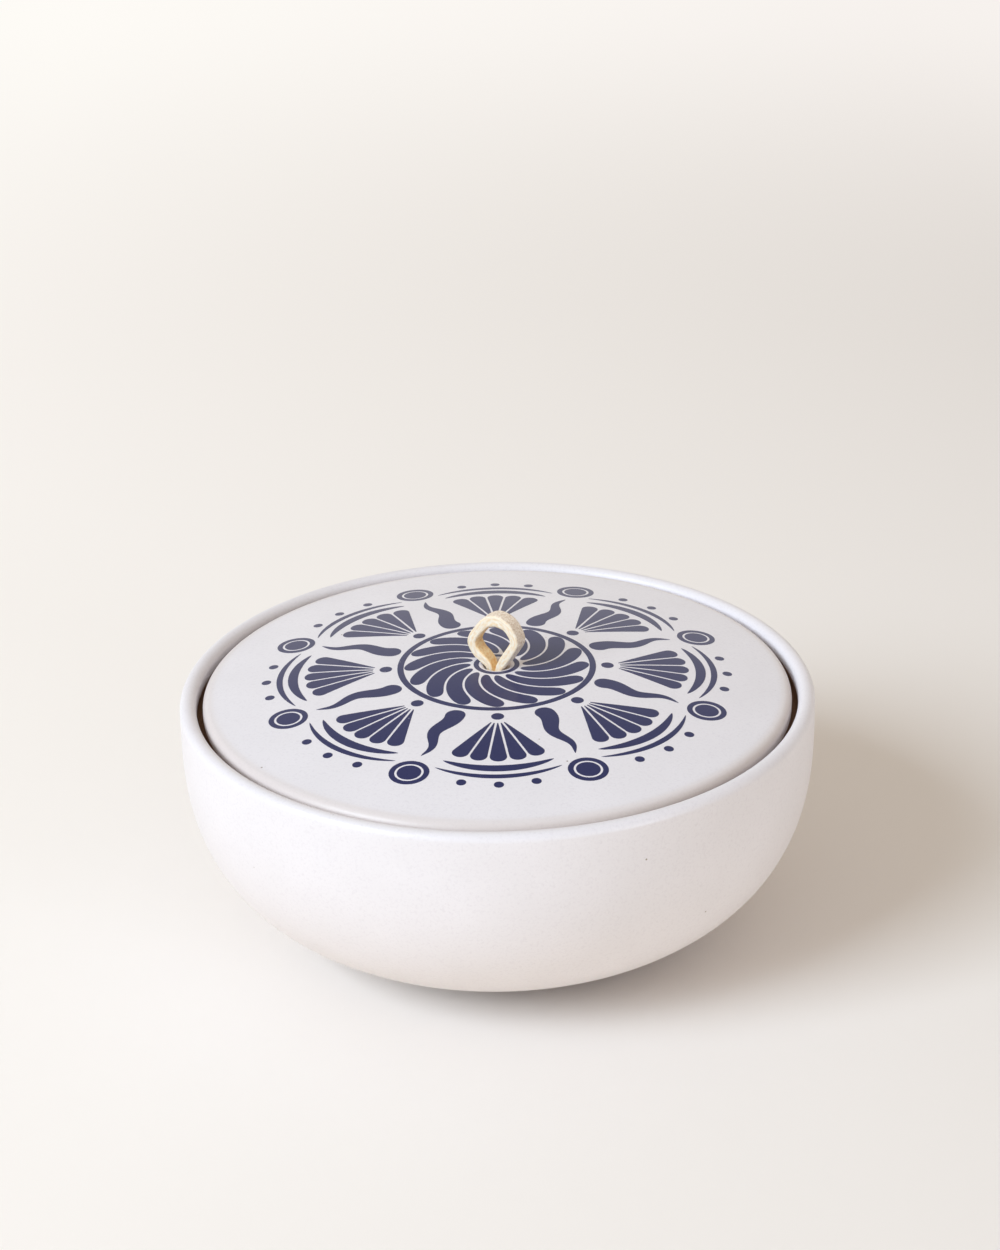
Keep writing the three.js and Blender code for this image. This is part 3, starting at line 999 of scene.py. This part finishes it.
@dataclass
class LacePull:
    """The pull: a flat lace that stands up as a loop, goes down the hole and ends in an overhand knot.

    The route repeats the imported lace's: the knot is a trefoil with one lobe cut open, and the loop is a
    curve through a few points given as shares of its width and height.
    """

    dome_top: float
    loop_top: float
    lid_thickness: float
    width: float = 4.0
    thickness: float = 2.3
    corner: float = 0.5
    gap: float = 0.3
    loop_width: float = 11.9
    loop_height: float = 12.4
    loop_root: float = 1.8
    loop_shape: tuple[tuple[float, float], ...] = (
        (-0.135, 0.01), (-0.25, 0.12), (-0.38, 0.218), (-0.466, 0.34), (-0.492, 0.42), (-0.455, 0.543),
        (-0.335, 0.71), (-0.15, 0.914), (0.06, 1.0), (0.25, 0.954), (0.34, 0.897), (0.434, 0.779),
        (0.493, 0.66), (0.5, 0.577), (0.423, 0.434), (0.322, 0.282), (0.215, 0.124), (0.135, 0.005))
    loop_ease: float = 5.0
    fold_swell: float = 0.6
    fold_length: float = 3.5
    flesh_blur: float = 0.2
    edge_span: tuple[float, float] = (0.6, 0.1)
    squeeze: float = 0.75
    eye: float = 1.7
    swing: float = 0.4
    knot_exit: float = 1.2
    tail_bend: float = 3.2
    tail_forward: float = 4.0
    tail_length: float = 6.0
    tail_splay: float = 0.5
    knot_steps: int = 26
    tail_steps: int = 6
    step: float = 0.25
    side_steps: int = 12
    corner_steps: int = 4

    def route(self) -> np.ndarray:
        """Draws the middle line of the doubled lace: down the hole, round the knot and out into the tails.

        The knot is x = M sin 2a - S sin a, z = M cos 2a + S cos a, weaving in y by sin 3a.

        Returns:
            Points of the line from the dome down, with the dome's top at the origin.
        """
        half_double = self.squeeze * self.thickness + self.gap / 2
        inner = self.eye + half_double
        mean = inner / (1 - self.swing)
        swing = mean * self.swing
        weave = self.squeeze * self.width + 2 * self.gap
        share = self.swing / 2
        # The knot starts where its strand runs upright, so where 2 M cos 2a = S cos a.
        start = math.acos((share + math.sqrt(share**2 + 8)) / 4)
        a = np.linspace(start, TURN - self.knot_exit * start, self.knot_steps + 1)
        knot = np.stack([
            mean * np.sin(2 * a) - swing * np.sin(a),
            -weave * np.sin(3 * a),
            mean * np.cos(2 * a) + swing * np.cos(a)], -1)
        under_lid = inner + half_double + self.gap
        legs = np.tile(knot[0], (3, 1))
        legs[:, 2] = under_lid + np.array([1, 0.5, 0]) * (self.lid_thickness - self.loop_root)
        heading = knot[-1] - knot[-2]
        first = math.atan2(heading[2], heading[0])
        share = np.arange(1, self.tail_steps + 1) / self.tail_steps
        angle = first + (1.5 * math.pi - first) * share
        bend = knot[-1] + np.stack([
            self.tail_bend * (np.sin(angle) - math.sin(first)),
            self.tail_forward * share,
            self.tail_bend * (math.cos(first) - np.cos(angle))], -1)
        hang = bend[-1] - np.outer([self.tail_length / 2, self.tail_length], [0, 0, 1])
        points = np.vstack([legs, knot, bend, hang])
        return catmull_rom(points - [knot[0, 0], knot[0, 1], under_lid + self.lid_thickness])

    @staticmethod
    def axes(path: np.ndarray) -> tuple[np.ndarray, np.ndarray]:
        """Works out how a strip lies along a path, with its width as near to the Y axis as the path lets it.

        Args:
            path: points along the strip.

        Returns:
            Unit vectors across the width and through the thickness at each point.
        """
        along = np.gradient(path, axis=0)
        along /= np.linalg.norm(along, axis=1, keepdims=True)
        width = np.array([0, 1, 0]) - along[:, 1:2] * along
        width /= np.linalg.norm(width, axis=1, keepdims=True)
        return width, np.cross(width, along)

    def stations(self) -> tuple[np.ndarray, np.ndarray, np.ndarray]:
        """Puts the whole lace in order: one tail, its strand of the knot, a leg, the loop and back again.

        Returns:
            Points along the lace, how far the leather is squeezed at each, and how much its inner side
            swells there, a bell curve about the fold at the top of the loop.
        """
        route = even_steps(self.route(), self.step)
        along = lengths(route)
        _, across = self.axes(route)
        in_tail = smooth_step(along, along[-1] - self.tail_length - self.tail_bend, along[-1])
        squeeze = self.squeeze + (1 - self.squeeze) * in_tail
        apart = (squeeze * self.thickness + self.gap) / 2 + self.tail_splay * in_tail
        left = (route + apart[:, None] * across)[::-1]
        right = route - apart[:, None] * across
        shape = np.array(self.loop_shape) * [self.loop_width, self.loop_height]
        shape = np.stack([shape[:, 0], 0 * shape[:, 0], shape[:, 1]], -1)
        loop = even_steps(catmull_rom(np.vstack([left[-1:], shape, right[:1]])), self.step)
        round_loop = lengths(loop)
        in_loop = smooth_step(np.minimum(round_loop, round_loop[-1] - round_loop), 0, self.loop_ease)
        spread = self.squeeze + (1 - self.squeeze) * in_loop
        from_top = round_loop - round_loop[np.argmax(loop[:, 2])]
        swell = 1 + self.fold_swell * np.exp(-((from_top / self.fold_length) ** 2))
        plain = np.ones(len(route))
        path = np.vstack([left, loop[1:-1], right])
        return (
            path,
            np.concatenate([squeeze[::-1], spread[1:-1], squeeze]),
            np.concatenate([plain, swell[1:-1], plain]),
        )

    def section(self) -> tuple[np.ndarray, np.ndarray, np.ndarray]:
        """Draws the strip's rounded section, turning left from the grain side.

        Returns:
            Points [thickness, width], a mark that is 1 on the flesh side, and one that is 1 on the edges.
        """
        half_t, half_w = self.thickness / 2, self.width / 2
        c = self.corner
        corners = [
            arc((st * (half_t - c), sw * (half_w - c)), c, start, start + math.pi / 2, self.corner_steps)
            for st, sw, start in ((1, 1, 0), (-1, 1, math.pi / 2), (-1, -1, math.pi), (1, -1, 1.5 * math.pi))
        ]
        points = []
        for here, ahead in zip(corners, corners[1:] + corners[:1]):
            points += [here, np.linspace(here[-1], ahead[0], self.side_steps + 1)[1:-1]]
        outline = np.vstack(points)
        flesh = smooth_step(-outline[:, 0], -self.flesh_blur, self.flesh_blur)
        edge = smooth_step(np.abs(outline[:, 1]), *(half_w - share * c for share in self.edge_span))
        return outline, flesh, edge

    def build(self, leather: bpy.types.Material) -> None:
        """Makes the lace by carrying its section along the stations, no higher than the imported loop.

        Args:
            leather: the finish.
        """
        path, squeeze, swell = self.stations()
        width, thick = self.axes(path)
        outline, flesh, edge = self.section()
        scaled = outline[None] * squeeze[:, None, None]
        scaled[..., 0] *= np.where(outline[:, 0] > 0, swell[:, None], 1)
        rings = path[:, None] + scaled[..., :1] * thick[:, None] + scaled[..., 1:] * width[:, None]
        rings[..., 2] = np.minimum(rings[..., 2] + self.dome_top, self.loop_top)
        surface = loft(rings)
        around = lengths(np.vstack([outline, outline[:1]]))[:-1]
        strip_map = np.stack(np.broadcast_arrays(lengths(path)[:, None], around[None]), -1).reshape(-1, 2)
        surface.strip_map = np.vstack([strip_map, [[0, 0], [lengths(path)[-1], 0]]])
        surface.marks[Mark.FLESH] = np.concatenate([np.tile(flesh, len(path)), [0.5, 0.5]])
        surface.marks[Mark.EDGE] = np.concatenate([np.tile(edge, len(path)), [1, 1]])
        attach(surface.place("leather_pull", leather), Body.PULL, "pull_lace")


@dataclass
class PhotoCamera:
    """The camera at the photograph's viewing angle, which takes the lip's centre to its pixel."""

    lens: float = 95.0
    sensor: float = 36.0
    distance: float = 791.0
    azimuth: float = 31.0
    elevation: float = 25.73
    aim: tuple[float, float, float] = (0.0, 0.0, 62.0)
    aim_pixel: tuple[float, float] = (497.0, 686.0)
    roll: float = 1.116
    clip: tuple[float, float] = (10.0, 100000.0)

    def build(self) -> None:
        """Makes the camera, looks at the aim, rolls, and tilts until the aim lies on its pixel."""
        data = bpy.data.cameras.new("photo_camera")
        data.lens, data.sensor_width = self.lens, self.sensor
        data.clip_start, data.clip_end = (distance * MM for distance in self.clip)
        camera = bpy.data.objects.new("photo_camera", data)
        bpy.context.scene.collection.objects.link(camera)
        bpy.context.scene.camera = camera
        out = towards(self.azimuth, self.elevation)
        focal = self.lens / self.sensor * max(PHOTO_SIZE)
        right = self.aim_pixel[0] - PHOTO_SIZE[0] / 2
        down = self.aim_pixel[1] - PHOTO_SIZE[1] / 2
        camera.location = (Vector(self.aim) + out * self.distance) * MM
        look = (-out).to_track_quat("-Z", "Y").to_matrix()
        roll = Euler((0, 0, -math.radians(self.roll))).to_matrix()
        tilt = Euler((math.atan2(down, focal), math.atan2(right, focal), 0)).to_matrix()
        camera.rotation_mode = "QUATERNION"
        camera.rotation_quaternion = (look @ roll @ tilt).to_quaternion()


@dataclass
class Softbox:
    """A square area lamp that looks at the box from an azimuth counted to the camera's right.

    A lamp that isn't mirrored lights the box without a highlight of its own.
    """

    name: str
    azimuth: float
    elevation: float
    distance: float
    size: float
    power: float
    colour: tuple[float, float, float]
    mirrored: bool = True

    def build(self, camera_azimuth: float) -> None:
        """Makes the lamp; distances are millimetres and the power is in watts.

        Args:
            camera_azimuth: the camera's azimuth in degrees, from which the lamp's own is counted.
        """
        data = bpy.data.lights.new(self.name, "AREA")
        data.shape, data.size = "SQUARE", self.size * MM
        data.energy, data.color = self.power, self.colour
        lamp = bpy.data.objects.new(self.name, data)
        bpy.context.scene.collection.objects.link(lamp)
        out = towards(camera_azimuth + self.azimuth, self.elevation)
        lamp.location = out * self.distance * MM
        lamp.visible_camera, lamp.visible_glossy = False, self.mirrored
        lamp.rotation_mode = "QUATERNION"
        lamp.rotation_quaternion = (-out).to_track_quat("-Z", "Y")


@dataclass
class Studio:
    """A pale paper floor with painted falloff of the light across it, the air round it and the lamps."""

    camera: PhotoCamera
    # Painted falloff: the paper as seen at the camera's left and at its right, the right one darker as if
    # less lit.
    paper: tuple[str, str] = ("#fbf8f6", "#e7e3e1")
    paper_bounce: str = "#fcefdd"
    painted_falloff_reach: float = 200.0
    # Painted falloff: the distant glow of the floor, also darker at the camera's right.
    backdrop: tuple[str, str] = ("#fefbf6", "#f7f2ee")
    backdrop_fade: tuple[float, float] = (420.0, 950.0)
    horizon: str = "#fbf7f2"
    horizon_fade: tuple[float, float] = (1100.0, 2600.0)
    ceiling: str = "#4a4644"
    ceiling_fade: tuple[float, float] = (14.0, 46.0)
    low_air: tuple[float, float, float] = (0.0, 0.0, 0.0)
    high_air: tuple[float, float, float] = (0.67, 0.595, 0.505)
    air_fade: tuple[float, float] = (4.0, 34.0)
    floor_size: float = 6000.0
    floor_cells: int = 8
    lamps: tuple[Softbox, ...] = (
        Softbox("key_softbox", -55, 34.5, 5000, 2400, 219.0, (0.78, 0.895, 1.0)),
        Softbox("low_reflector", 50, 7, 2500, 560, 12.0, (0.76, 0.86, 1.0)),
        Softbox("back_reflector", 178, 6, 2500, 560, 6.0, (0.8, 0.88, 1.0), mirrored=False),
    )

    def build(self) -> None:
        """Lays the floor, lights it and sets the plain view."""
        self._floor()
        self._world()
        for lamp in self.lamps:
            lamp.build(self.camera.azimuth)
        bpy.context.scene.view_settings.view_transform = "Standard"

    def _floor(self) -> None:
        """Lays a flat sheet of matt paper, a grid of two parameters across and along.

        Where it is seen, it is painted lighter on the camera's left and darker on its right, painted falloff
        of the light, and it fades with distance into the backdrop, graded the same way, and then into the
        colour of the horizon.
        """
        half, count = self.floor_size / 2, self.floor_cells + 1
        x, y = np.meshgrid(np.linspace(-half, half, count), np.linspace(-half, half, count))
        points = np.stack([x, y, 0 * x], -1).reshape(-1, 3)
        first = np.arange(count * count).reshape(count, count)[:-1, :-1].ravel()
        faces = np.stack([first, first + 1, first + count + 1, first + count], -1)
        mesh = bpy.data.meshes.new("floor")
        mesh.from_pydata((points * MM).tolist(), [], faces.tolist())
        material = bpy.data.materials.new("matt_studio_paper_with_painted_falloff")
        tree = new_tree(material)
        path = add_node(tree, "LightPath")
        seen = add_node(tree, "Math", {
            "Value": path["Is Camera Ray"], "Value_001": path["Is Glossy Ray"],
        }, operation="MAXIMUM")["Value"]
        place = add_node(tree, "TexCoord")["Object"]
        a = math.radians(self.camera.azimuth)
        across = add_node(tree, "VectorMath", {
            "Vector": place, "Vector_001": (math.cos(a), math.sin(a), 0)}, operation="DOT_PRODUCT")["Value"]
        # Painted falloff: the share across the view from the camera's left to its right, where the paper is
        # painted darker.
        side = add_node(tree, "MapRange", {
            "Value": across, "From Min": -self.painted_falloff_reach * MM, "From Max": self.painted_falloff_reach * MM,
        })["Result"]
        sheet, backdrop = (add_node(tree, "Mix", {
            "Factor_Float": side, "A_Color": linear(left), "B_Color": linear(right),
        }, data_type="RGBA")["Result_Color"] for left, right in (self.paper, self.backdrop))
        colour = add_node(tree, "Mix", {
            "Factor_Float": seen, "A_Color": linear(self.paper_bounce), "B_Color": sheet,
        }, data_type="RGBA")["Result_Color"]
        away = add_node(tree, "VectorMath", {"Vector": place}, operation="LENGTH")["Value"]
        fade, end = (add_node(tree, "MapRange", {
            "Value": away, "From Min": near * MM, "From Max": far * MM,
        }, interpolation_type="SMOOTHSTEP")["Result"]
            for near, far in (self.backdrop_fade, self.horizon_fade))
        share = add_node(tree, "Math", {"Value": fade, "Value_001": seen}, operation="MULTIPLY")["Value"]
        haze = add_node(tree, "Mix", {
            "Factor_Float": end, "A_Color": backdrop, "B_Color": linear(self.horizon),
        }, data_type="RGBA")["Result_Color"]
        matt = add_node(tree, "BsdfDiffuse", {"Color": colour})["BSDF"]
        glow = add_node(tree, "Emission", {"Color": haze})["Emission"]
        shader = add_node(tree, "MixShader", {"Fac": share, "Shader": matt, "Shader_001": glow})["Shader"]
        add_node(tree, "OutputMaterial", {"Surface": shader})
        mesh.materials.append(material)
        floor = bpy.data.objects.new("floor", mesh)
        bpy.context.scene.collection.objects.link(floor)

    def _world(self) -> None:
        """Lights the box softly from above. Reflections see the horizon's colour fade to a dark ceiling."""
        world = bpy.data.worlds.new("studio_air")
        bpy.context.scene.world = world
        tree = new_tree(world)
        path = add_node(tree, "LightPath")
        way = add_node(tree, "TexCoord")["Generated"]
        up = add_node(tree, "SeparateXYZ", {"Vector": way})["Z"]
        raised, lifted = (add_node(tree, "MapRange", {
            "Value": up, "From Min": math.sin(math.radians(low)), "From Max": math.sin(math.radians(high)),
        }, interpolation_type="SMOOTHSTEP")["Result"] for low, high in (self.ceiling_fade, self.air_fade))
        seen = add_node(tree, "Math", {
            "Value": path["Is Camera Ray"], "Value_001": path["Is Transmission Ray"],
        }, operation="MAXIMUM")["Value"]
        air, mirrored = (add_node(tree, "Mix", {
            "Factor_Float": share, "A_Color": low, "B_Color": high,
        }, data_type="RGBA")["Result_Color"] for share, low, high in (
            (lifted, (*self.low_air, 1.0), (*self.high_air, 1.0)),
            (raised, linear(self.horizon), linear(self.ceiling))))
        colour = air
        for share, over in ((path["Is Glossy Ray"], mirrored), (seen, linear(self.horizon))):
            colour = add_node(tree, "Mix", {
                "Factor_Float": share, "A_Color": colour, "B_Color": over}, data_type="RGBA")["Result_Color"]
        light = add_node(tree, "Background", {"Color": colour})["Background"]
        add_node(tree, "OutputWorld", {"Surface": light})


def main() -> None:
    """Builds the camera, the pieces and the studio in order."""
    camera = PhotoCamera()
    camera.build()
    glaze = SatinGlaze().material()
    bowl_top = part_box("bowl")[1] / MM
    lid_low, lid_high = (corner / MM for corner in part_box("lid"))
    bowl = Bowl(radius=bowl_top.x, height=bowl_top.z)
    bowl.build(glaze)
    lid = Lid(seat_height=lid_low.z, radius=lid_high.x)
    lid.build(glaze)
    LidPrint(lid, facing=math.radians(camera.azimuth - 90)).build(FiredInk().material())
    dome_top = lid.seat_height + lid.edge_height + lid.rise
    loop_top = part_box("pull_lace")[1].z / MM
    LacePull(dome_top, loop_top, lid.thickness).build(LaceLeather().material())
    Studio(camera).build()


if __name__ == "__main__":
    logging.basicConfig(level=logging.INFO, format="%(name)s %(message)s")
    main()
